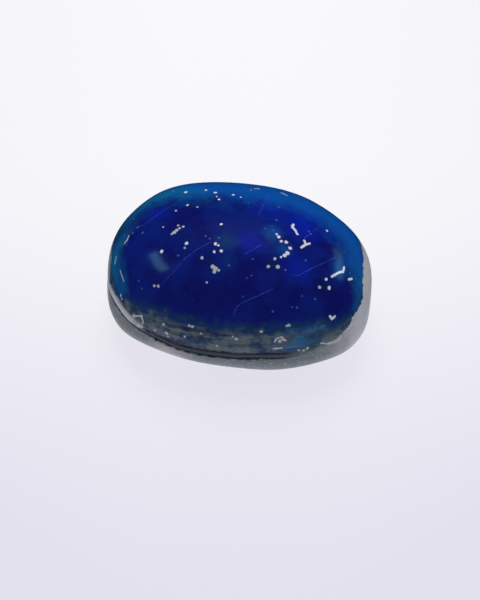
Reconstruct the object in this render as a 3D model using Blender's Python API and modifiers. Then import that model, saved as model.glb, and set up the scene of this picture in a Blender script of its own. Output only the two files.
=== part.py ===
"""Polished lapis lazuli pebble.

One tumbled stone: a high rounded crown over an uneven belt, a shallower underside that
flares a little past the belt at the front left, softly worn flats round the sides, and
the small flat spot that it rests on. Metres, +Z up. X runs along the stone. The origin
is on the rest spot, under the middle of the stone's length and depth.
"""

import math

import bmesh
import bpy
from mathutils import Vector, noise

MM = 0.001

# Size of the stone before its sides are worn
LENGTH = 30.6 * MM
DEPTH = 22.1 * MM
CROWN_HEIGHT = 11.0 * MM
UNDERSIDE_HEIGHT = 5.4 * MM
REST_CUT = 0.12 * MM

# Squareness of the sections: 2 is an ellipse, and more is boxier
PLAN_SQUARENESS = 2.37
CROWN_SQUARENESS = 2.36
UNDERSIDE_SQUARENESS = 2.37

# What makes the pebble uneven
CROWN_WEDGE = 0.04
BELT_TILT = 0.5 * MM
BELT_DROOP = 0.8 * MM
FLARE = Vector((-0.30, -0.32, 0.0))
FLARE_FADE = 2.5 * MM
UNEVEN_HEIGHT = 0.05 * MM
UNEVEN_WIDTH = 5.5 * MM
UNEVEN_SEED = Vector((3.1, 7.4, 1.9))

# Flats worn on the sides: degrees round from +X, degrees up from level, and depth
WEAR_SOFTNESS = 1.0 * MM
WORN_FLATS = {
    "right end": (5, -5, 0.49 * MM),
    "right end, front": (-20, -25, 0.09 * MM),
    "front, right": (-60, -40, 0.23 * MM),
    "front, left": (-110, -40, 0.20 * MM),
    "left end": (-170, 0, 0.30 * MM),
    "back left shoulder": (150, 30, 0.14 * MM),
    "back edge": (100, 45, 0.16 * MM),
    "back right shoulder": (55, 35, 0.16 * MM),
    "bevel over the belt, front left": (-150, 12, 0.72 * MM),
}

# The cage and how tightly the belt turns at the front left
CAGE_CUTS = 13
CAGE_LEVELS = 1
BELT_GATHER = 1.25
ON_BELT = 1e-6
BELT_CREASE = 0.6
BELT_CREASE_TOWARDS = Vector((-0.8, -0.6, 0.0))

# Colours: ultramarine crown, grey-green matrix along the belt and under it
CROWN_BLUE = (0.003, 0.009, 0.130, 1.0)
MATRIX_GREY = (0.135, 0.150, 0.150, 1.0)
MATRIX_TOP = 5.6 * MM
CROWN_FOOT = 7.4 * MM
POLISH_ROUGHNESS = 0.12


def clear_scene():
    for old in list(bpy.data.objects):
        bpy.data.objects.remove(old, do_unlink=True)


def new_collection(name):
    collection = bpy.data.collections.new(name)
    bpy.context.scene.collection.children.link(collection)
    return collection


def heading(azimuth, elevation):
    """The unit vector that points azimuth degrees round from +X and elevation degrees up."""
    round_z = math.radians(azimuth)
    up = math.radians(elevation)
    return Vector((math.cos(round_z) * math.cos(up), math.sin(round_z) * math.cos(up), math.sin(up)))


def belt_cage():
    """A cube cut into even squares and swelled to a ball, its rows gathered towards the belt."""
    bm = bmesh.new()
    bmesh.ops.create_cube(bm, size=2.0)
    bmesh.ops.subdivide_edges(bm, edges=bm.edges[:], cuts=CAGE_CUTS, use_grid_fill=True)
    for vert in bm.verts:
        even = Vector([math.tan(part * math.pi / 4) for part in vert.co])
        even.normalize()
        even.z = math.copysign(abs(even.z) ** BELT_GATHER, even.z)
        vert.co = even
    return bm


def crease_belt(bm):
    """Makes the ball's middle row turn tightly on the side where the bevel meets the flare."""
    crease = bm.edges.layers.float.new("crease_edge")
    for edge in bm.edges:
        start, end = (vert.co for vert in edge.verts)
        if max(abs(start.z), abs(end.z)) < ON_BELT:
            facing = (start + end).normalized().dot(BELT_CREASE_TOWARDS)
            edge[crease] = BELT_CREASE * max(0.0, facing)


def on_squared_ball(direction):
    """The point of the unit ball that lies that way, with the ball made boxy in plan and profile."""
    across = (abs(direction.x) ** PLAN_SQUARENESS + abs(direction.y) ** PLAN_SQUARENESS) ** (1 / PLAN_SQUARENESS)
    squareness = CROWN_SQUARENESS if direction.z > 0 else UNDERSIDE_SQUARENESS
    reach = (across**squareness + abs(direction.z) ** squareness) ** (1 / squareness)
    return direction / reach


def pebble_point(direction):
    """Where the unworn pebble's surface is that way from the middle of its belt."""
    point = on_squared_ball(direction)
    if point.z > 0:
        height = point.z * CROWN_HEIGHT * (1 - CROWN_WEDGE * point.x)
    else:
        height = point.z * UNDERSIDE_HEIGHT
    below = max(0.0, -height)
    flare = FLARE * below * math.exp(-below / FLARE_FADE)
    belt_drop = (BELT_TILT * point.x + BELT_DROOP * point.x**2) * (1 - point.z**2)
    return Vector((point.x * LENGTH / 2, point.y * DEPTH / 2, height - belt_drop)) + flare


def wear_flat(bm, azimuth, elevation, depth):
    """Rubs the bulge that points that way down by depth, fading out over its shoulders."""
    normal = heading(azimuth, elevation)
    start = max(vert.co.dot(normal) for vert in bm.verts) - 2 * math.sqrt(depth * WEAR_SOFTNESS)
    for vert in bm.verts:
        proud = max(0.0, vert.co.dot(normal) - start)
        vert.co -= normal * proud**2 / (4 * WEAR_SOFTNESS)


def make_uneven(bm):
    bm.normal_update()
    for vert in bm.verts:
        swell = noise.noise(vert.co / UNEVEN_WIDTH + UNEVEN_SEED)
        vert.co += vert.normal * swell * UNEVEN_HEIGHT


def centre_on_rest_spot(bm):
    """Puts the box's middle on the Z axis, and the depth of the rest cut below the origin."""
    low = Vector([min(vert.co[axis] for vert in bm.verts) for axis in range(3)])
    high = Vector([max(vert.co[axis] for vert in bm.verts) for axis in range(3)])
    move = -(low + high) / 2
    move.z = -low.z - REST_CUT
    bmesh.ops.translate(bm, vec=move, verts=bm.verts[:])


def lapis_material():
    material = bpy.data.materials.new("polished_lapis")
    material.use_nodes = True
    nodes = material.node_tree.nodes
    links = material.node_tree.links
    shader = nodes["Principled BSDF"]
    shader.inputs["Roughness"].default_value = POLISH_ROUGHNESS
    shader.inputs["Metallic"].default_value = 0.0
    place = nodes.new("ShaderNodeTexCoord")
    height = nodes.new("ShaderNodeSeparateXYZ")
    blend = nodes.new("ShaderNodeMapRange")
    blend.inputs["From Min"].default_value = MATRIX_TOP
    blend.inputs["From Max"].default_value = CROWN_FOOT
    colour = nodes.new("ShaderNodeMix")
    colour.data_type = "RGBA"
    colour.inputs["A"].default_value = MATRIX_GREY
    colour.inputs["B"].default_value = CROWN_BLUE
    links.new(place.outputs["Object"], height.inputs["Vector"])
    links.new(height.outputs["Z"], blend.inputs["Value"])
    links.new(blend.outputs["Result"], colour.inputs["Factor"])
    links.new(colour.outputs["Result"], shader.inputs["Base Color"])
    material.diffuse_color = CROWN_BLUE
    return material


def rest_cutter(collection):
    """A block whose top face is the level that the stone rests on."""
    bpy.ops.mesh.primitive_cube_add(size=1.0)
    cutter = bpy.context.object
    cutter.name = "rest_cutter"
    cutter.scale = (2 * LENGTH, 2 * DEPTH, UNDERSIDE_HEIGHT)
    cutter.location.z = -UNDERSIDE_HEIGHT / 2
    cutter.hide_render = True
    cutter.display_type = "WIRE"
    for owner in list(cutter.users_collection):
        owner.objects.unlink(cutter)
    collection.objects.link(cutter)
    return cutter


def stone(collection, cutter):
    bm = belt_cage()
    crease_belt(bm)
    for vert in bm.verts:
        vert.co = pebble_point(vert.co)
    for azimuth, elevation, depth in WORN_FLATS.values():
        wear_flat(bm, azimuth, elevation, depth)
    make_uneven(bm)
    centre_on_rest_spot(bm)

    mesh = bpy.data.meshes.new("stone")
    bm.to_mesh(mesh)
    bm.free()
    mesh.shade_smooth()
    mesh.materials.append(lapis_material())
    pebble = bpy.data.objects.new("stone", mesh)
    collection.objects.link(pebble)

    rounding = pebble.modifiers.new("rounding", "SUBSURF")
    rounding.levels = CAGE_LEVELS
    rounding.render_levels = CAGE_LEVELS
    rest = pebble.modifiers.new("rest spot", "BOOLEAN")
    rest.operation = "DIFFERENCE"
    rest.solver = "EXACT"
    rest.object = cutter
    return pebble


def main():
    clear_scene()
    parts = new_collection("lapis_pebble")
    cutters = new_collection("cutters")
    stone(parts, rest_cutter(cutters))


main()
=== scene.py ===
import math

import bmesh
import bpy
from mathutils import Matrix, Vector
from mathutils.bvhtree import BVHTree


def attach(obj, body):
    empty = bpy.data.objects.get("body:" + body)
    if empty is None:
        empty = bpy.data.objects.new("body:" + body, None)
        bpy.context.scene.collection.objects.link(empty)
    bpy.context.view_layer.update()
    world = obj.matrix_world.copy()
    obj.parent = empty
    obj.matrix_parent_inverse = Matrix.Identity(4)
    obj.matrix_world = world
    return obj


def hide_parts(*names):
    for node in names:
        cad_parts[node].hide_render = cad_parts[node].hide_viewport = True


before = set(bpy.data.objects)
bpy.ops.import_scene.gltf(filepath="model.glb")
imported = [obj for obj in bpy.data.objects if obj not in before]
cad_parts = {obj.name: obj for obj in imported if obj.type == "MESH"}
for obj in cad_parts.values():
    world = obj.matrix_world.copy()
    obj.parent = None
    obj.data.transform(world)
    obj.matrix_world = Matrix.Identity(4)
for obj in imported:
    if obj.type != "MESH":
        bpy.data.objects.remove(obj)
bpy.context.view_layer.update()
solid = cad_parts["stone"]
mm = 0.001
print("Frame loaded")


# Node helpers

seedStep = (7.31, -3.17, 5.93)          # how far apart the clouds of two seeds lie


class Wire:
    # One socket of a node tree. Sums written with it add Math nodes to the tree.
    def __init__(self, tree, socket=None):
        self.tree = tree
        self.socket = socket

    def node(self, kind, settings=None, sockets=None, output=0):
        made = self.tree.nodes.new(kind)
        for name, value in (settings or {}).items():
            if name == "stops":
                fillRamp(made.color_ramp, value)
            elif name == "curve":
                fillCurve(made.mapping, value)
            else:
                setattr(made, name, value)
        for name, value in (sockets or {}).items():
            if isinstance(value, Wire):
                self.tree.links.new(value.socket, made.inputs[name])
            else:
                made.inputs[name].default_value = value
        return Wire(self.tree, made.outputs[output])

    def maths(self, operation, first, second=0.0):
        return self.node("ShaderNodeMath", {"operation": operation}, {0: first, 1: second})

    def vector(self, operation, second=(0.0, 0.0, 0.0), output=0):
        return self.node("ShaderNodeVectorMath", {"operation": operation}, {0: self, 1: second}, output)

    def __add__(self, other):
        return self.maths("ADD", self, other)

    def __sub__(self, other):
        return self.maths("SUBTRACT", self, other)

    def __mul__(self, other):
        return self.maths("MULTIPLY", self, other)

    def least(self, other):
        return self.maths("MINIMUM", self, other)

    def most(self, other):
        return self.maths("MAXIMUM", self, other)

    def size(self):
        return self.maths("ABSOLUTE", self)

    # By a Mapping node in a material, and by vector maths in Geometry Nodes, which has no such node
    def moved(self, offset):
        if self.tree.type == "SHADER":
            return self.node("ShaderNodeMapping", None, {"Vector": self, "Location": offset})
        return self.vector("ADD", offset)

    def stretched(self, times):
        return self.node("ShaderNodeMapping", None, {"Vector": self, "Scale": times})

    def scaled(self, times):
        return self.node("ShaderNodeVectorMath", {"operation": "SCALE"}, {0: self, "Scale": times})

    # 0 at the first value and 1 at the second, with a soft start and end
    def between(self, zeroAt, oneAt):
        sockets = {0: self, 1: zeroAt, 2: oneAt}
        return self.node("ShaderNodeMapRange", {"interpolation_type": "SMOOTHSTEP"}, sockets)

    def noise(self, width, seed, detail=3.0, roughness=0.5):
        shifted = self.moved([seed * step for step in seedStep])
        sockets = {"Vector": shifted, "Scale": 1 / width, "Detail": detail, "Roughness": roughness}
        return shifted.node("ShaderNodeTexNoise", None, sockets)


def fillRamp(ramp, stops):
    while len(ramp.elements) > 1:
        ramp.elements.remove(ramp.elements[-1])
    ramp.elements[0].position = stops[0][0]
    ramp.elements[0].color = stops[0][1]
    for position, colour in stops[1:]:
        ramp.elements.new(position).color = colour


def fillCurve(mapping, points):
    curve = mapping.curves[0]
    curve.points[0].location = points[0]
    curve.points[-1].location = points[-1]
    for point in points[1:-1]:
        curve.points.new(*point)
    for point in curve.points:
        point.handle_type = "AUTO_CLAMPED"
    mapping.update()


def mixed(factor, under, over):
    return factor.node("ShaderNodeMix", {"data_type": "RGBA"}, {0: factor, 6: under, 7: over}, 2)


# A colour as a colour picker shows it, 0 to 255, in the linear values that shaders take
def paint(red, green, blue):
    linear = []
    for part in (red, green, blue):
        share = part / 255
        linear.append(share / 12.92 if share <= 0.04045 else ((share + 0.055) / 1.055) ** 2.4)
    return (*linear, 1.0)


# Camera at the photo's viewing angle

photoView = {
    "azimuth": 9.0,                     # degrees round from straight in front
    "elevation": 45.0,                  # chosen: the outline fits as well from 40 to 55
    "distance": 400.0,                  # mm
    "pixelsPerMm": 8.832,
    "point": (0.0, 0.0, 5.3),           # mm, and the pixel where it shows
    "pointPixel": (238.43, 285.41),
    "frame": (480, 600),
    "sensor": 36.0,
}


def cameraAxes():
    azimuth = math.radians(photoView["azimuth"])
    elevation = math.radians(photoView["elevation"])
    right = Vector((math.cos(azimuth), math.sin(azimuth), 0))
    level = Vector((math.sin(azimuth), -math.cos(azimuth), 0))
    back = level * math.cos(elevation) + Vector((0, 0, math.sin(elevation)))
    return right, back.cross(right), back


def cameraPlace():
    right, up, back = cameraAxes()
    width, height = photoView["frame"]
    across = (width / 2 - photoView["pointPixel"][0]) / photoView["pixelsPerMm"]
    down = (height / 2 - photoView["pointPixel"][1]) / photoView["pixelsPerMm"]
    aim = Vector(photoView["point"]) + right * across - up * down
    return (aim + back * photoView["distance"]) * mm


def addCamera():
    camera = bpy.data.cameras.new("photoCamera")
    camera.sensor_width = photoView["sensor"]
    reach = photoView["pixelsPerMm"] * photoView["distance"]
    camera.lens = reach * photoView["sensor"] / photoView["frame"][1]
    camera.clip_start = 0.01
    camera.clip_end = 20
    holder = bpy.data.objects.new("photoCamera", camera)
    bpy.context.scene.collection.objects.link(holder)
    holder.location = cameraPlace()
    holder.rotation_euler = cameraAxes()[2].to_track_quat("Z", "Y").to_euler()
    bpy.context.scene.camera = holder


# The direction from the camera through a pixel of the photo
def throughPixel(pixelX, pixelY):
    right, up, back = cameraAxes()
    width, height = photoView["frame"]
    across = (pixelX - width / 2) / photoView["pixelsPerMm"]
    down = (pixelY - height / 2) / photoView["pixelsPerMm"]
    return (right * across - up * down - back * photoView["distance"]).normalized()


addCamera()
print("Camera placed")


# The stone's surface: the solid, rounded finely, with the relief that its minerals leave

belt = {
    # Height in mm of the seam between crown and underside, by degrees round from +X. Where the
    # photo shows the seam they were worked out from places in it, and the others are guesses
    "seam": {-180: 5.1, -168: 5.28, -160: 5.49, -152: 5.64, -139: 5.6, -126: 5.28, -113: 4.95, -86: 4.9,
             -70: 5.08, -49: 5.26, -36: 6.06, -27: 6.5, -21: 7.5, -11: 8.1, -2: 9.5, 13: 9.9, 40: 8.6,
             80: 7.0, 120: 6.4, 160: 5.4, 180: 5.1},
    "highest": 20.0,
}

# Inputs of the Geometry Nodes tree
surface = {
    "Rounding": 2,
    "Swell height": 0.018 * mm,
    "Grain height": 0.012 * mm,         # only in the softer grey rock
    "Seam depth": 0.10 * mm,
    "Seam lip": 0.05 * mm,
}

# Clouds are given as width in mm, seed, detail and roughness, and ranges as the values that give 0 and 1
relief = {
    "swell": (2.2, 1, 2.0),
    "grain": (0.45, 2, 3.0, 0.6),
    "seamHalfWidth": 0.32,              # mm
    "lipAbove": 0.55,                   # mm over the seam
    "lipNarrowness": 2.2,
    "front": (-3.0, -5.0),              # mm in front of the middle, where the seam is cut
    "rightEnd": (9.0, 4.0),
    "greyRock": (4.5, 2.0),             # mm over the seam
}

cage = {
    "weld": 0.001 * mm,
    "flatAngle": 0.7,                   # radians
    "shapeAngle": 1.0,
}


# A place in mm as x, y and height, and as a share of a turn from -X round by the front
def measured(place):
    outputs = place.node("ShaderNodeSeparateXYZ", None, {0: place}).socket.node.outputs
    x, y, height = (Wire(place.tree, outputs[axis]) for axis in "XYZ")
    turn = place.maths("ARCTAN2", y, x) * (1 / (2 * math.pi)) + 0.5
    return x, y, height, turn


# The height in mm that a table of heights by degrees gives at this share of a turn
def heightRound(turn, heights):
    points = [((degrees + 180) / 360, height / belt["highest"]) for degrees, height in heights.items()]
    return turn.node("ShaderNodeFloatCurve", {"curve": points}, {"Value": turn}) * belt["highest"]


def surfaceTree(material):
    tree = bpy.data.node_groups.new("stoneSurface", "GeometryNodeTree")
    tree.interface.new_socket("Geometry", in_out="INPUT", socket_type="NodeSocketGeometry")
    for name, value in surface.items():
        kind = "NodeSocketInt" if isinstance(value, int) else "NodeSocketFloat"
        tree.interface.new_socket(name, in_out="INPUT", socket_type=kind)
    tree.interface.new_socket("Geometry", in_out="OUTPUT", socket_type="NodeSocketGeometry")

    start = Wire(tree)
    given = start.node("NodeGroupInput").socket.node.outputs
    wired = {socket.name: Wire(tree, socket) for socket in given if socket.name}

    sockets = {"Mesh": wired["Geometry"], "Level": wired["Rounding"]}
    rounded = start.node("GeometryNodeSubdivisionSurface", None, sockets)
    place = start.node("GeometryNodeInputPosition").scaled(1 / mm)
    normal = start.node("GeometryNodeInputNormal")
    x, y, height, turn = measured(place)

    # How far the surface faces the photo's camera, kept for the painted sheen at the rim of the crown
    facing = normal.vector("DOT_PRODUCT", cameraAxes()[2], 1)
    settings = {"data_type": "FLOAT", "domain": "POINT"}
    sockets = {"Geometry": rounded, "Name": "facing", "Value": facing}
    kept = start.node("GeometryNodeStoreNamedAttribute", settings, sockets)

    swell = place.noise(*relief["swell"]) - 0.5
    rise = swell * wired["Swell height"] * 2.0

    aboveSeam = height - heightRound(turn, belt["seam"])
    front = y.between(*relief["front"]) * x.between(*relief["rightEnd"])
    near = (aboveSeam.size() * (1 / relief["seamHalfWidth"])).between(1.0, 0.0)
    lip = ((aboveSeam - relief["lipAbove"]).size() * relief["lipNarrowness"]).between(1.0, 0.0)
    rise = rise - near * front * wired["Seam depth"] + lip * front * wired["Seam lip"]

    grey = aboveSeam.between(*relief["greyRock"])
    grain = place.noise(*relief["grain"]) - 0.5
    rise = rise + grain * grey * wired["Grain height"] * 2.0

    offset = normal.scaled(rise)
    shaped = start.node("GeometryNodeSetPosition", None, {"Geometry": kept, "Offset": offset})
    real = start.node("GeometryNodeRealizeInstances", None, {"Geometry": shaped})
    dressed = start.node("GeometryNodeSetMaterial", None, {"Geometry": real, "Material": material})
    end = tree.nodes.new("NodeGroupOutput")
    tree.links.new(dressed.socket, end.inputs["Geometry"])
    return tree


def cageFromSolid():
    bm = bmesh.new()
    bm.from_mesh(solid.data)
    bmesh.ops.remove_doubles(bm, verts=bm.verts[:], dist=cage["weld"])
    restFaces = [face for face in bm.faces if all(vert.co.z < cage["weld"] for vert in face.verts)]
    bmesh.ops.dissolve_faces(bm, faces=restFaces)
    triangles = [face for face in bm.faces if len(face.verts) == 3]
    angles = {"angle_face_threshold": cage["flatAngle"], "angle_shape_threshold": cage["shapeAngle"]}
    bmesh.ops.join_triangles(bm, faces=triangles, **angles)
    mesh = bpy.data.meshes.new("stoneCage")
    bm.to_mesh(mesh)
    bm.free()
    return mesh


def makeStone(material):
    rough = bpy.data.objects.new("stoneCage", cageFromSolid())
    bpy.context.scene.collection.objects.link(rough)
    modifier = rough.modifiers.new("surface", "NODES")
    modifier.node_group = surfaceTree(material)
    for item in modifier.node_group.interface.items_tree:
        if item.in_out == "INPUT" and item.name in surface:
            modifier[item.identifier] = surface[item.name]
    bpy.context.view_layer.update()
    finished = rough.evaluated_get(bpy.context.evaluated_depsgraph_get())
    mesh = bpy.data.meshes.new_from_object(finished)
    bpy.data.objects.remove(rough)
    mesh.name = "polishedStone"
    mesh.shade_smooth()
    piece = bpy.data.objects.new("polished_stone", mesh)
    bpy.context.scene.collection.objects.link(piece)
    return piece


lapis = bpy.data.materials.new("lapisLazuli")
lapis.use_nodes = True
stone = makeStone(lapis)
print("Stone shaped:", len(stone.data.polygons), "faces")


# Places on the stone that the photo shows

stoneTree = BVHTree.FromPolygons([vert.co for vert in stone.data.vertices],
                                 [face.vertices for face in stone.data.polygons])


# The point in mm where the stone shows at a pixel of the photo
def onStone(pixelX, pixelY):
    spot = stoneTree.ray_cast(cameraPlace(), throughPixel(pixelX, pixelY))[0]
    if spot is None:
        raise ValueError(f"no stone at pixel {pixelX}, {pixelY}")
    return spot / mm


def spotsAt(groups):
    spots = []
    for places in groups.values():
        for pixelX, pixelY, radius in places:
            spots.append((onStone(pixelX, pixelY), radius / photoView["pixelsPerMm"]))
    return spots


# Grains, by the part of the stone that they lie in: pixel, and radius in pixels

# These bright grains are real grains painted near white, as bright as the glint they catch: grain and painted
# glint
silverGrains = {
    "back edge": [(185.7, 192.2, 1.7), (205.9, 190, 1.3), (215.3, 192.5, 1.5), (219.1, 199.4, 1.1),
                  (216.8, 196.6, 0.8), (233.4, 194.8, 1.3), (240.8, 197.1, 0.8), (251, 190, 0.7)],
    "left of the crown": [(187.5, 205, 1.2), (221.2, 224.1, 1.3), (186.5, 243.3, 1.7), (161.6, 251.5, 1.6)],
    "middle": [(215.3, 243.8, 1.5), (218.4, 245.3, 1.0), (214.3, 251.7, 1.2), (221.2, 251, 1.5)],
    "chain on the right": [(276.6, 234.1, 1.2), (278.9, 236.9, 1.6), (281.2, 241.2, 1.4), (286.3, 242.2, 1.8),
                           (290.2, 248.1, 1.7), (287.4, 253, 2.0), (284.6, 255.4, 1.9), (281, 257, 1.0)],
    "worm": [(291.9, 225.6, 0.8), (296.9, 233.8, 0.8)],
    "three arms": [(306.2, 244.2, 1.0)],
    "right end": [(327, 230.7, 1.2), (326.3, 279.3, 1.6), (329.3, 287.8, 1.9), (331.9, 318.9, 1.3)],
}

# Longer bright grains, as pixels along each, painted near white: grain with its glint painted in
silverStreaks = {
    "worm": [(293.6, 224.6), (292.2, 227.2), (295.6, 230.6), (297.2, 234.2)],
    "three arms": [(301.4, 247.4), (306, 244.2), (304.2, 240.6)],
    "third arm": [(306.2, 244.4), (309.6, 243.4)],
    "right end hook": [(344.2, 267.2), (343.2, 271.6), (338.6, 272.6), (331.8, 276.6)],
    "right end dash": [(348.6, 279.4), (352, 278.8)],
    "foot": [(330, 316.2), (332, 318.8), (334.8, 316.4)],
}
# Whitish streaks in the grey band and along the stone's edges
paleStreaks = {
    "arch": [(274.6, 342), (276.6, 338.6), (281.4, 337.4), (286, 340.6)],
    "under the arch": [(273.6, 348.6), (281.6, 348.2)],
    "grey edge": [(321.4, 343.2), (328.6, 343.6), (334.4, 342), (339.2, 339.2), (340.8, 336.4)],
    "grey edge, upper": [(343.4, 332.6), (348.8, 328), (352.4, 323)],
    "left foot": [(133, 316), (141.6, 315.6), (143.4, 322.4)],
    "left foot, lower": [(137.4, 325), (142, 327)],
    "back rim": [(254.6, 188.6), (259.4, 188.8)],
    "back right rim": [(281.6, 192.8), (286.6, 195.4)],
    "left margin": [(116, 257.4), (114.8, 264)],
    "left margin, low": [(120.4, 271), (122, 276), (123.6, 281)],
    "left margin, high": [(124.2, 243.6), (127, 240), (128.6, 236)],
}

ashGrains = {
    "upper left cluster": [(174.2, 232.4, 1.9), (176.8, 230.2, 1.7), (179.6, 228.2, 1.5), (183.2, 226.6, 1.5),
                           (178.2, 225.4, 1.2), (171.8, 234, 1.2)],
    "middle cluster": [(212.8, 266.6, 2.0), (215.4, 268.8, 2.3), (214.4, 271.8, 1.6), (218.6, 270, 1.3)],
    "foot of the chain": [(274.8, 258.9, 1.5), (268.2, 266.5, 1.6), (277.9, 266.8, 1.8), (319.6, 287.2, 1.6)],
    "small": [(206.9, 282.3, 1.1), (154.2, 285.9, 1.3), (158.1, 286.2, 1.4), (202, 257.9, 1.5),
              (176, 210.6, 1.1), (163.2, 227, 1.0), (197.4, 207, 0.9), (184.7, 248, 1.1), (120.8, 295.6, 1.6),
              (121.8, 298.7, 1.3)],
}

faintGrains = {
    "left": [(178, 255.5, 1.2), (138.7, 280.8, 0.9), (142, 288.7, 0.9), (205.6, 236, 0.9), (210, 238.7, 0.9),
             (218.9, 237.7, 1.2), (229, 265.5, 1.2), (132.8, 233, 1.5), (142.8, 232.6, 1.3),
             (137.7, 227.4, 1.6)],
    "left edge": [(124.4, 236, 1.1), (127.4, 240.8, 1.1), (126.4, 244.8, 1.0), (116.6, 256.8, 1.0),
                  (120.8, 272.7, 0.9), (122.4, 277.8, 0.9), (133.6, 218.6, 1.3)],
    "middle": [(248.5, 203, 0.8), (243.1, 296.6, 0.8), (251.6, 275.5, 0.8), (247, 278, 0.8),
               (252.7, 259, 0.8), (292.4, 307.2, 0.8), (296.9, 307.5, 1.0), (272.8, 311.5, 1.1)],
    "right": [(276.6, 220, 1.2), (278.7, 207, 1.2), (265.2, 228.5, 1.0), (273.6, 230.5, 0.9),
              (285.6, 270.1, 1.1), (305.7, 260.4, 1.1), (308.8, 231.5, 1.0), (311.3, 234.1, 1.0),
              (315.2, 299.2, 1.1), (302, 296, 0.8), (350, 273, 0.9), (345, 252, 0.8)],
}

bandGrains = {
    "left": [(134.1, 315.9, 1.4), (141.2, 316.9, 1.1), (143, 321, 0.9), (142.8, 323.4, 0.9),
             (138.6, 325.4, 1.5), (141.6, 326.6, 1.6), (155, 330.2, 1.1), (166.5, 333, 1.6),
             (168, 336.6, 0.9), (163.6, 324.4, 1.2)],
    "middle": [(184.7, 336.7, 1.0), (192.3, 326.5, 1.3), (189, 325.4, 1.0), (201, 333.7, 0.8),
               (232.7, 336.7, 1.0), (236.2, 338.8, 1.2), (216.8, 345.9, 0.8), (261.3, 331.6, 1.3),
               (288.9, 325.3, 1.4), (286.6, 326, 1.0)],
    "arch": [(279.8, 341.2, 1.6), (283.6, 339.8, 1.0)],
    "under the arch": [(299.1, 350.5, 1.0), (303.7, 350.5, 1.2), (307.5, 348.2, 1.2)],
    "edge of the grey": [(328.4, 343.2, 1.2), (348.8, 328.2, 1.2), (352.6, 318.2, 1.2), (358, 320.4, 1.0)],
}

# Fine veins in the blue, as pixels along each
veins = {
    "long violet": [(212, 241.5), (198, 249), (185, 258.4), (172.9, 272.7), (162, 283.4)],
    "upper left": [(168.8, 207), (156, 216), (144, 225), (137.7, 227)],
    "bright dash": [(261.3, 244.3), (254.6, 248.7), (245.4, 253.8)],
    "top": [(269, 195), (263.5, 205), (258.3, 215)],
    "right": [(292.4, 275.4), (299, 275.2), (307.2, 270.6), (320, 264.5), (333.7, 258.3), (358, 252.7)],
    "short right": [(319.5, 226.9), (304.2, 238.2)],
    "lower middle": [(272.8, 288.7), (256.7, 296.4), (243.4, 302.2), (236.4, 307), (233.2, 315.3)],
}

# Soft patches of other blues: pixel, reach in mm, colour and strength. The glows beside the chain and at the
# right end are painted highlights, where the polish would mirror soft light
patches = {
    "royal upper right": (305, 223, 4.2, "royal", 0.80),
    "royal top": (266, 208, 2.6, "royal", 0.60),
    "royal middle": (250, 243, 2.4, "royal", 0.62),
    "royal right": (298, 268, 2.8, "royal", 0.55),
    "royal upper left": (158, 213, 1.6, "royal", 0.55),
    "violet low": (206, 300, 5.0, "violetNight", 0.70),
    "violet low right": (262, 312, 3.6, "violetNight", 0.60),
    "glow beside the chain": (273, 233, 1.7, "highlightLagoon", 0.62),
    "glow below the chain": (285, 248, 1.4, "highlightLagoon", 0.55),
    "glow in the middle": (226, 241, 2.0, "dimTeal", 0.65),
    "dark by the cluster": (228, 262, 1.5, "dimTeal", 0.35),
    "glow at the right": (339, 268, 1.7, "highlightLagoon", 0.65),
    "glow far right": (350, 263, 1.9, "sheenAzure", 0.45),
    "shade at the chain's foot": (272, 263, 1.2, "inkTeal", 0.60),
    "shade at the right": (325, 283, 1.3, "inkTeal", 0.50),
    "shade left of the worm": (283, 238, 0.5, "inkTeal", 0.30),
    "shade by the upper cluster": (181, 235, 0.8, "inkTeal", 0.45),
    "shade by the middle cluster": (212, 262, 1.2, "inkTeal", 0.45),
}

# Colours of the rock, as a colour picker shows them
palette = {
    "navy": paint(7, 30, 118),
    "violetNight": paint(11, 17, 100),
    "royal": paint(5, 30, 168),
    "sheenAzure": paint(8, 84, 170),
    "highlightLagoon": paint(6, 84, 160),
    "teal": paint(12, 104, 156),
    "dimTeal": paint(16, 62, 112),
    "inkTeal": paint(10, 34, 78),
    "slateBlue": paint(20, 56, 96),
    "greyGreen": paint(78, 98, 106),
    "mossGrey": paint(98, 114, 106),
    "mauveGrey": paint(112, 110, 126),
    "paleGrey": paint(205, 208, 214),
    "grey": paint(158, 162, 166),
    "warmGrey": paint(172, 168, 170),
    "seamShadeAndDarkLayer": paint(8, 22, 46),
    # The bright grains' white holds their glint, painted in
    "grainAndGlint": paint(248, 250, 255),
    "ash": paint(190, 196, 186),
    "vein": paint(60, 70, 190),
    "faint": paint(64, 104, 170),
}

# Height in mm of the lower edge of the blue, by degrees round from +X, with guesses where it does not show
deepBlueFoot = {
    -180: 8.4, -170: 8.2, -163: 7.6, -157: 7.3, -147: 8.5, -134: 9.4, -119: 9.5, -101: 9.3, -77: 9.2,
    -60: 9.4, -41: 9.3, -30: 8.2, -20: 7.7, -11: 8.2, -2: 9.0, 13: 9.6, 60: 10.2, 100: 10.2, 140: 9.6,
    165: 9.0, 180: 8.4,
}

# Painted sheen where the crown turns away from the photo's camera, teal and pale blue like a reflection at a
# grazing edge, by share of a turn from -X round by the front
rimSheenColours = [
    (0.0, palette["dimTeal"]), (0.025, palette["teal"]), (0.08, palette["teal"]), (0.12, palette["dimTeal"]),
    (0.40, palette["dimTeal"]), (0.45, palette["teal"]), (0.52, palette["sheenAzure"]), (0.62, palette["sheenAzure"]),
    (0.86, palette["sheenAzure"]), (0.94, palette["teal"]), (1.0, palette["dimTeal"]),
]


# mm from the rim of the nearest of these round spots, and less than 0 inside one
def nearestSpot(place, spots):
    nearest = None
    for centre, radius in spots:
        gap = place.vector("DISTANCE", centre, 1) - radius
        nearest = gap if nearest is None else nearest.least(gap)
    return nearest


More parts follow.
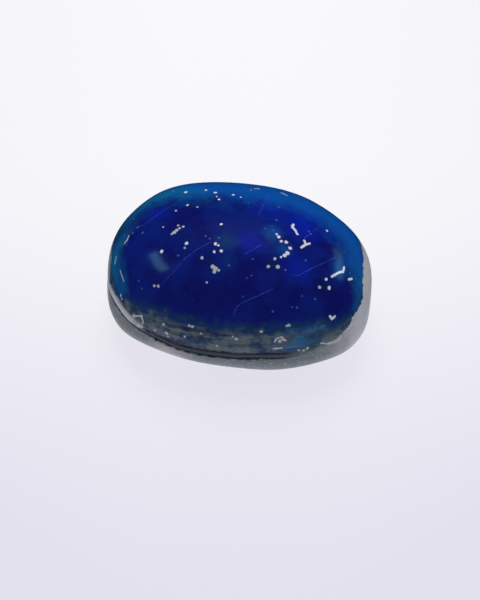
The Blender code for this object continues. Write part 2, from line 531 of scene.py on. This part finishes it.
# mm from the nearest of these lines, each a row of pixels on the stone
def nearestStroke(place, lines):
    nearest = None
    for pixels in lines.values():
        points = [onStone(*pixel) for pixel in pixels]
        for start, end in zip(points, points[1:]):
            along = end - start
            fromStart = place.vector("SUBTRACT", start)
            share = fromStart.vector("DOT_PRODUCT", along / along.length_squared, 1)
            # Two plain nodes, because with a Math node's own clamp here the stone rendered black
            held = share.most(0.0).least(1.0)
            sockets = {0: held * along.x, 1: held * along.y, 2: held * along.z}
            reach = held.node("ShaderNodeCombineXYZ", None, sockets)
            gap = fromStart.vector("DISTANCE", reach, 1)
            nearest = gap if nearest is None else nearest.least(gap)
    return nearest


crown = {
    "clouds": (3.2, 3, 4.0, 0.55),
    "violet": (0.38, 0.66),
    "patchWander": (2.0, 11, 3.0),
    "patchRaggedness": 0.8,             # of a patch's reach
    "back": (2.0, 7.0),                 # mm behind the middle
    "backClouds": (0.62, 0.40),
    "backStrength": 0.7,
    "wisps": (0.9, 12, 4.0, 0.65),
    "wispRange": (0.012, 0.0),
    "wispStrength": 0.10,
    "rimClouds": (1.3, 4, 4.0, 0.6),
    "rimRaggedness": 0.22,
    "rim": (0.70, 0.45),                # by how far the surface faces the photo's camera
    "leftEnd": (-5.0, -10.5),           # mm along the stone
    "leftNarrowing": 0.13,
    "fadeRaggedness": 0.3,
    "fade": (-0.85, -0.25),
    "rimSheenStrength": 0.92,
}


def crownColour(place, x, y, turn, facing):
    clouds = place.noise(*crown["clouds"])
    colour = mixed(clouds.between(*crown["violet"]), palette["navy"], palette["violetNight"])
    wander = place.noise(*crown["patchWander"]) - 0.5
    for pixelX, pixelY, reach, name, strength in patches.values():
        raggedness = reach * crown["patchRaggedness"]
        gap = place.vector("DISTANCE", onStone(pixelX, pixelY), 1) + wander * raggedness
        colour = mixed(gap.between(reach, 0.0) * strength, colour, palette[name])

    # More royal blue behind the middle
    back = y.between(*crown["back"]) * clouds.between(*crown["backClouds"])
    colour = mixed(back * crown["backStrength"], colour, palette["royal"])

    wisps = (place.noise(*crown["wisps"]) - 0.5).size()
    colour = mixed(wisps.between(*crown["wispRange"]) * crown["wispStrength"], colour, palette["vein"])
    # The crown's rim: a painted sheen, teal and pale blue where the surface turns away from the photo's
    # camera
    rimCloud = place.noise(*crown["rimClouds"]) - 0.5
    leftEnd = x.between(*crown["leftEnd"])
    turned = facing + rimCloud * crown["rimRaggedness"] + leftEnd * crown["leftNarrowing"]
    rim = turned.between(*crown["rim"])
    sheenRing = turn.node("ShaderNodeValToRGB", {"stops": rimSheenColours}, {0: turn})
    fade = (facing + rimCloud * crown["fadeRaggedness"]).between(*crown["fade"])
    return mixed(rim * fade * crown["rimSheenStrength"], colour, sheenRing)


# The grey-green matrix: clouds of moss, mauve and slate, in thin level layers
matrixRock = {
    "clouds": (1.1, 21, 4.0, 0.6),
    "slate": (0.40, 0.62),
    "moss": (1.7, 22, 3.0),
    "mossRange": (0.50, 0.66),
    "mossStrength": 0.8,
    "layerStretch": (0.35, 0.35, 3.2),
    "layers": (1.6, 23, 4.0, 0.6),
    "mauve": (0.52, 0.66),
    "mauveStrength": 0.75,
    "dark": (0.50, 0.38),
    "darkStrength": 0.6,
    "blueAlong": (4.5, 8.5),            # mm: the band is bluer at the front right
    "blueFront": (-5.0, -8.0),
    "blueAbove": (0.6, 1.6),            # mm over the seam
    "blueStrength": 0.75,
    "tealClouds": (0.42, 0.60),
}


def greyRock(place, x, y, aboveSeam):
    clouds = place.noise(*matrixRock["clouds"])
    colour = mixed(clouds.between(*matrixRock["slate"]), palette["greyGreen"], palette["slateBlue"])
    moss = place.noise(*matrixRock["moss"])
    mossShare = moss.between(*matrixRock["mossRange"]) * matrixRock["mossStrength"]
    colour = mixed(mossShare, colour, palette["mossGrey"])
    layers = place.stretched(matrixRock["layerStretch"]).noise(*matrixRock["layers"])
    mauve = layers.between(*matrixRock["mauve"]) * matrixRock["mauveStrength"]
    colour = mixed(mauve, colour, palette["mauveGrey"])
    # Darker layers in the rock, in the same dark colour as the painted seam shade
    dark = layers.between(*matrixRock["dark"]) * matrixRock["darkStrength"]
    colour = mixed(dark, colour, palette["seamShadeAndDarkLayer"])
    blueRight = x.between(*matrixRock["blueAlong"]) * y.between(*matrixRock["blueFront"])
    blueRight = blueRight * aboveSeam.between(*matrixRock["blueAbove"])
    blue = mixed(clouds.between(*matrixRock["tealClouds"]), palette["slateBlue"], palette["teal"])
    return mixed(blueRight * matrixRock["blueStrength"], colour, blue)


underRock = {
    "clouds": (2.2, 31, 3.0),
    "warm": (0.40, 0.62),
    "layerStretch": (0.4, 0.4, 2.4),
    "layers": (1.2, 32, 4.0, 0.65),
    "green": (0.50, 0.36),
    "greenStrength": 0.28,
    "front": (-4.0, -8.0),              # mm in front of the middle
    "frontLeft": (-7.0, -2.0),          # mm along the stone
    "frontRight": (14.0, 9.5),
    "frontStrength": 0.75,
    "corner": (-7.0, -9.5),
    "cornerFront": (1.0, -3.0),
    "cornerStrength": 0.55,
    "rightEnd": (12.8, 14.4),
    "rightEndStrength": 0.60,
    "grain": (0.28, 33, 2.0),
    "grainRange": (0.56, 0.70),
    "grainStrength": 0.35,
}


def underside(place, x, y):
    clouds = place.noise(*underRock["clouds"])
    colour = mixed(clouds.between(*underRock["warm"]), palette["grey"], palette["warmGrey"])
    layers = place.stretched(underRock["layerStretch"]).noise(*underRock["layers"])
    green = layers.between(*underRock["green"]) * underRock["greenStrength"]
    colour = mixed(green, colour, palette["greyGreen"])
    corner = x.between(*underRock["corner"]) * y.between(*underRock["cornerFront"])
    colour = mixed(corner * underRock["cornerStrength"], colour, palette["greyGreen"])
    front = y.between(*underRock["front"]) * x.between(*underRock["frontLeft"])
    front = front * x.between(*underRock["frontRight"])
    colour = mixed(front * underRock["frontStrength"], colour, palette["greyGreen"])
    rightEnd = x.between(*underRock["rightEnd"])
    colour = mixed(rightEnd * underRock["rightEndStrength"], colour, palette["paleGrey"])
    grain = place.noise(*underRock["grain"]).between(*underRock["grainRange"])
    return mixed(grain * underRock["grainStrength"], colour, palette["paleGrey"])


# Heights are in mm over the seam, or over the foot of the deep blue
layering = {
    "ragged": (1.5, 5, 5.0, 0.62),
    "veilRaggedness": 2.6,
    "veil": (0.9, -0.2),
    "veilStrength": 0.85,
    "matrixRaggedness": 3.0,
    "matrix": (0.1, -1.3),
    "teeth": (0.55, 6, 4.0, 0.6),
    "edgeRaggedness": 1.1,
    "edge": (0.10, -0.10),
}


# The blue thins through cloudy slate into the grey rock, and the underside begins at a ragged edge
def rockColour(place, x, y, turn, facing, aboveSeam, aboveFoot):
    colour = crownColour(place, x, y, turn, facing)
    ragged = place.noise(*layering["ragged"]) - 0.5
    veil = (aboveFoot + ragged * layering["veilRaggedness"]).between(*layering["veil"])
    colour = mixed(veil * layering["veilStrength"], colour, palette["slateBlue"])
    matrix = (aboveFoot + ragged * layering["matrixRaggedness"]).between(*layering["matrix"])
    colour = mixed(matrix, colour, greyRock(place, x, y, aboveSeam))
    teeth = place.noise(*layering["teeth"]) - 0.5
    under = (aboveSeam + teeth * layering["edgeRaggedness"]).between(*layering["edge"])
    return mixed(under, colour, underside(place, x, y)), matrix, under, teeth


# The pale lip at the left end and the pale strip on the left side, painted highlights along that edge, and
# the dark line along the seam, painted shade in its crease
seamPaint = {
    "lipLeft": (-8.6, -11.2),           # mm along the stone
    "lipFront": (3.0, -1.0),            # mm from the middle
    "lipFootRaggedness": 0.5,
    "lipFoot": (0.05, 0.25),            # mm over the seam
    "lipTopRaggedness": 0.9,
    "lipTop": (1.5, 0.7),
    "lipHighlightStrength": 0.85,
    "sideRaggedness": 0.5,
    "side": (-14.1, -14.6),             # a plane across the stone, so from that end it shows as a disc
    "sideTop": (1.6, 0.4),              # mm over the foot of the deep blue
    "sideHighlightStrength": 0.70,
    "lineFront": (-1.5, -4.0),
    "lineRight": (9.5, 6.0),
    "swelling": (-12.0, -4.0),          # the line widens over this stretch
    "wide": 0.34,                       # mm
    "narrow": 0.10,
    "lineRaggedness": 0.55,
    "lineRise": 0.7,                    # of the line's half width
    "line": (0.16, -0.06),
    "lineShadeStrength": 0.96,
}


def withSeam(colour, x, y, aboveSeam, aboveFoot, teeth):
    # The pale lip: a painted highlight along the seam's edge at the left end
    leftEnd = x.between(*seamPaint["lipLeft"]) * y.between(*seamPaint["lipFront"])
    lipFoot = (aboveSeam + teeth * seamPaint["lipFootRaggedness"]).between(*seamPaint["lipFoot"])
    lipTop = (aboveSeam + teeth * seamPaint["lipTopRaggedness"]).between(*seamPaint["lipTop"])
    lip = lipFoot * lipTop
    colour = mixed(leftEnd * lip * seamPaint["lipHighlightStrength"], colour, palette["paleGrey"])
    # The pale strip on the left side: a painted highlight at the end of the stone
    side = (x + teeth * seamPaint["sideRaggedness"]).between(*seamPaint["side"])
    side = side * (aboveFoot + teeth).between(*seamPaint["sideTop"])
    colour = mixed(side * seamPaint["sideHighlightStrength"], colour, palette["paleGrey"])
    # The dark line along the seam: painted shade in the crease where the crown tucks in over the underside
    front = y.between(*seamPaint["lineFront"]) * x.between(*seamPaint["lineRight"])
    width = x.between(*seamPaint["swelling"]) * seamPaint["wide"] + seamPaint["narrow"]
    wavering = aboveSeam + teeth * seamPaint["lineRaggedness"]
    gap = (wavering - width * seamPaint["lineRise"]).size() - width
    line = front * gap.between(*seamPaint["line"])
    return mixed(line * seamPaint["lineShadeStrength"], colour, palette["seamShadeAndDarkLayer"])


veinLook = {
    "shiver": (0.8, 41, 3.0),
    "shiverReach": 0.14,                # mm
    "trembleReach": 0.10,
    "range": (0.084, 0.0),              # mm from the middle of a vein
    "strength": 0.62,
}

# Each kind: how ragged, the range from outside to inside in mm, and the strength
grainLook = {
    "tremble": (0.30, 42, 2.0),
    "faint": (0.16, (0.06, -0.06), 0.75),
    "ash": (0.20, (0.05, -0.05), 0.9),
    "pale": (0.26, (0.08, -0.05), 0.72),
    "grainAndGlint": (0.18, (0.05, -0.05), 1.0),
    "paleHalfWidth": 0.08,              # mm
    "streakHalfWidth": 0.13,
    "speckSpacing": 0.9,                # mm
    "specks": (0.085, 0.045),
    "speckGroups": (2.4, 43, 2.0),
    "speckGroupRange": (0.50, 0.62),
    "speckStrength": 0.45,
    "farSpacing": 2.3,
    "farRaggedness": 0.16,
    "far": (0.10, 0.07),
    "farGroups": (3.5, 44, 2.0),
    "farGroupRange": (0.50, 0.60),
    "farStrength": 0.9,
    "farSide": (1.5, 3.5),              # mm behind the middle
    "farLow": (3.0, 1.0),               # mm over the floor
}


def withVeins(place, colour, tremble):
    shiver = place.noise(*veinLook["shiver"]) - 0.5
    gap = nearestStroke(place, veins) + shiver * veinLook["shiverReach"]
    vein = (gap + tremble * veinLook["trembleReach"]).between(*veinLook["range"])
    return mixed(vein * veinLook["strength"], colour, palette["vein"])


def cells(place, spacing):
    return place.node("ShaderNodeTexVoronoi", {"feature": "F1"}, {"Vector": place, "Scale": 1 / spacing})


# Small grains that follow no place in the photo: specks all over, and grains behind the middle and low down
def withLooseGrains(place, colour, y, height, tremble):
    specks = cells(place, grainLook["speckSpacing"]).between(*grainLook["specks"])
    speckGroups = place.noise(*grainLook["speckGroups"]).between(*grainLook["speckGroupRange"])
    colour = mixed(specks * speckGroups * grainLook["speckStrength"], colour, palette["faint"])
    farSide = y.between(*grainLook["farSide"]).most(height.between(*grainLook["farLow"]))
    gap = cells(place, grainLook["farSpacing"]) + tremble * grainLook["farRaggedness"]
    farGroups = place.noise(*grainLook["farGroups"]).between(*grainLook["farGroupRange"])
    grain = gap.between(*grainLook["far"]) * farSide * farGroups
    return mixed(grain * grainLook["farStrength"], colour, palette["ash"])


# 1 inside the grains of this kind and 0 outside, from the mm to the rim of the nearest one
def grainShare(kind, gap, tremble):
    raggedness, reach = grainLook[kind][:2]
    return (gap + tremble * raggedness).between(*reach)


def withPlacedGrains(place, colour, tremble):
    faint = grainShare("faint", nearestSpot(place, spotsAt(faintGrains)), tremble)
    colour = mixed(faint * grainLook["faint"][2], colour, palette["faint"])
    ash = grainShare("ash", nearestSpot(place, spotsAt(ashGrains)), tremble)
    colour = mixed(ash * grainLook["ash"][2], colour, palette["ash"])
    streakGap = nearestStroke(place, paleStreaks) - grainLook["paleHalfWidth"]
    pale = grainShare("pale", streakGap.least(nearestSpot(place, spotsAt(bandGrains))), tremble)
    colour = mixed(pale * grainLook["pale"][2], colour, palette["paleGrey"])
    # Bright grains and streaks: grain with a painted glint, near white and a little metal
    streakGap = nearestStroke(place, silverStreaks) - grainLook["streakHalfWidth"]
    grainAndGlint = grainShare("grainAndGlint", streakGap.least(nearestSpot(place, spotsAt(silverGrains))), tremble)
    return mixed(grainAndGlint * grainLook["grainAndGlint"][2], colour, palette["grainAndGlint"]), ash, grainAndGlint


polish = {
    "silverMetal": 0.25,
    "scuffs": (0.6, 51, 4.0, 0.65),
    "scuffStrength": 0.08,
    "roughness": 0.13,                  # of the blue
    "matrixRoughness": 0.16,            # more than the blue
    "undersideRoughness": 0.10,
    "bumps": (0.22, 52, 3.0, 0.6),
    "greyBumps": 0.9,
    "blueBumps": 0.10,
    "ashRise": 0.5,
    "bumpStrength": 0.35,
    "bumpDistance": 0.02 * mm,
    "refraction": 1.5,
}


def lapisShader():
    tree = lapis.node_tree
    shader = tree.nodes["Principled BSDF"]
    start = Wire(tree)
    place = start.node("ShaderNodeTexCoord", None, None, "Object").stretched([1 / mm] * 3)
    x, y, height, turn = measured(place)
    facing = start.node("ShaderNodeAttribute", {"attribute_name": "facing"}, None, "Fac")
    aboveSeam = height - heightRound(turn, belt["seam"])
    aboveFoot = height - heightRound(turn, deepBlueFoot)
    colour, matrix, under, teeth = rockColour(place, x, y, turn, facing, aboveSeam, aboveFoot)
    colour = withSeam(colour, x, y, aboveSeam, aboveFoot, teeth)
    tremble = place.noise(*grainLook["tremble"]) - 0.5
    colour = withVeins(place, colour, tremble)
    colour = withLooseGrains(place, colour, y, height, tremble)
    colour, ash, grainAndGlint = withPlacedGrains(place, colour, tremble)
    tree.links.new(colour.socket, shader.inputs["Base Color"])

    metal = grainAndGlint * polish["silverMetal"]
    tree.links.new(metal.socket, shader.inputs["Metallic"])
    rough = place.noise(*polish["scuffs"]) * polish["scuffStrength"] + matrix * polish["matrixRoughness"]
    rough = rough + under * polish["undersideRoughness"] + polish["roughness"]
    tree.links.new(rough.socket, shader.inputs["Roughness"])
    share = matrix.most(under) * polish["greyBumps"] + polish["blueBumps"]
    bumps = place.noise(*polish["bumps"]) * share + ash * polish["ashRise"]
    sockets = {"Height": bumps, "Strength": polish["bumpStrength"], "Distance": polish["bumpDistance"]}
    tree.links.new(bumps.node("ShaderNodeBump", None, sockets).socket, shader.inputs["Normal"])
    shader.inputs["IOR"].default_value = polish["refraction"]


lapisShader()
print("Material built")

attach(stone, "root")
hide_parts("stone")


# Floor, world and lights

studio = {
    "nearReach": 0.018,                 # m: the part of the floor that the polish mirrors
    "floorReach": 3.0,
    "floorGlow": 0.79,
    "floorAlbedo": 0.17,
    # Colours of the floor's glow: its light is painted, brighter far off and darker near the camera
    "farColour": (1.0, 0.995, 1.03, 1.0),
    "nearColour": (0.80, 0.775, 0.90, 1.0),
    "deepensFrom": 30.0,                # mm behind the stone
    "deepensTo": -48.0,
    "aside": (6.0, 40.0),               # mm to either side, where it also deepens
    "asideStrength": 0.22,
    "floorSegments": 96,
    "skyColour": paint(246, 247, 252),
    "skyStrength": 0.5,
    "keyPower": 1.25,                   # W
    "keyDistance": 0.5,                 # m
    "keySize": 0.30,
    "keyElevation": 66.0,               # degrees, from behind
    "glintPower": 0.05,
    "glintColour": (0.30, 0.75, 1.0),
    "glintDistance": 0.3,
    "glintSize": (0.14, 0.05),
}

# Soft gleams: the pixel where each shows, and its share of the power
glints = {
    "glintLeft": (158, 261, 1.0),
    "glintRight": (338, 266, 0.6),
}


def floorMaterial():
    material = bpy.data.materials.new("paleFloor")
    material.use_nodes = True
    tree = material.node_tree
    shader = tree.nodes["Principled BSDF"]
    shader.inputs["Base Color"].default_value = (*[studio["floorAlbedo"]] * 3, 1)
    shader.inputs["Roughness"].default_value = 1.0
    shader.inputs["Specular IOR Level"].default_value = 0.0
    shader.inputs["Emission Strength"].default_value = studio["floorGlow"]
    # The floor glows rather than being lit, its light painted darker toward the camera and to either side
    right = cameraAxes()[0]
    place = Wire(tree).node("ShaderNodeTexCoord", None, None, "Object").scaled(1 / mm)
    away = place.vector("DOT_PRODUCT", Vector((-right.y, right.x, 0)), 1)
    aside = place.vector("DOT_PRODUCT", right, 1).size()
    deep = away.between(studio["deepensFrom"], studio["deepensTo"])
    deep = deep + aside.between(*studio["aside"]) * studio["asideStrength"]
    colour = mixed(deep, studio["farColour"], studio["nearColour"])
    tree.links.new(colour.socket, shader.inputs["Emission Color"])
    return material


def addFloor():
    material = floorMaterial()
    bm = bmesh.new()
    bmesh.ops.create_circle(bm, cap_ends=True, segments=studio["floorSegments"], radius=studio["nearReach"])
    addStage("nearFloor", bm, material)
    bm = bmesh.new()
    for reach in ("nearReach", "floorReach"):
        bmesh.ops.create_circle(bm, segments=studio["floorSegments"], radius=studio[reach])
    bmesh.ops.bridge_loops(bm, edges=bm.edges[:])
    addStage("farFloor", bm, material).visible_glossy = False


def addStage(name, bm, material):
    bmesh.ops.recalc_face_normals(bm, faces=bm.faces[:])
    mesh = bpy.data.meshes.new(name)
    bm.to_mesh(mesh)
    bm.free()
    mesh.materials.append(material)
    floor = bpy.data.objects.new(name, mesh)
    bpy.context.scene.collection.objects.link(floor)
    return floor


def addWorld():
    world = bpy.data.worlds.new("studio")
    bpy.context.scene.world = world
    world.use_nodes = True
    background = world.node_tree.nodes["Background"]
    background.inputs["Color"].default_value = studio["skyColour"]
    background.inputs["Strength"].default_value = studio["skyStrength"]
    world.cycles_visibility.glossy = False


def addLight(name, direction, distance, power, size):
    light = bpy.data.lights.new(name, "AREA")
    light.shape = "RECTANGLE"
    light.size, light.size_y = size
    light.energy = power
    holder = bpy.data.objects.new(name, light)
    bpy.context.scene.collection.objects.link(holder)
    holder.location = direction * distance
    holder.rotation_euler = direction.to_track_quat("Z", "Y").to_euler()
    return holder


def addKeyLight():
    right = cameraAxes()[0]
    elevation = math.radians(studio["keyElevation"])
    direction = Vector((-right.y, right.x, 0)) * math.cos(elevation) + Vector((0, 0, math.sin(elevation)))
    key = addLight("key", direction, studio["keyDistance"], studio["keyPower"], (studio["keySize"],) * 2)
    key.visible_glossy = False


# A small soft light whose glint shows at a pixel of the photo
def addGlint(name, pixelX, pixelY, share):
    sight = throughPixel(pixelX, pixelY)
    direction = sight.reflect(stoneTree.ray_cast(cameraPlace(), sight)[1])
    power = studio["glintPower"] * share
    glint = addLight(name, direction, studio["glintDistance"], power, studio["glintSize"])
    glint.data.color = studio["glintColour"]
    glint.visible_diffuse = False


addFloor()
addWorld()
addKeyLight()
for name, (pixelX, pixelY, share) in glints.items():
    addGlint(name, pixelX, pixelY, share)
bpy.context.scene.view_settings.view_transform = "Standard"
print("Studio lit")
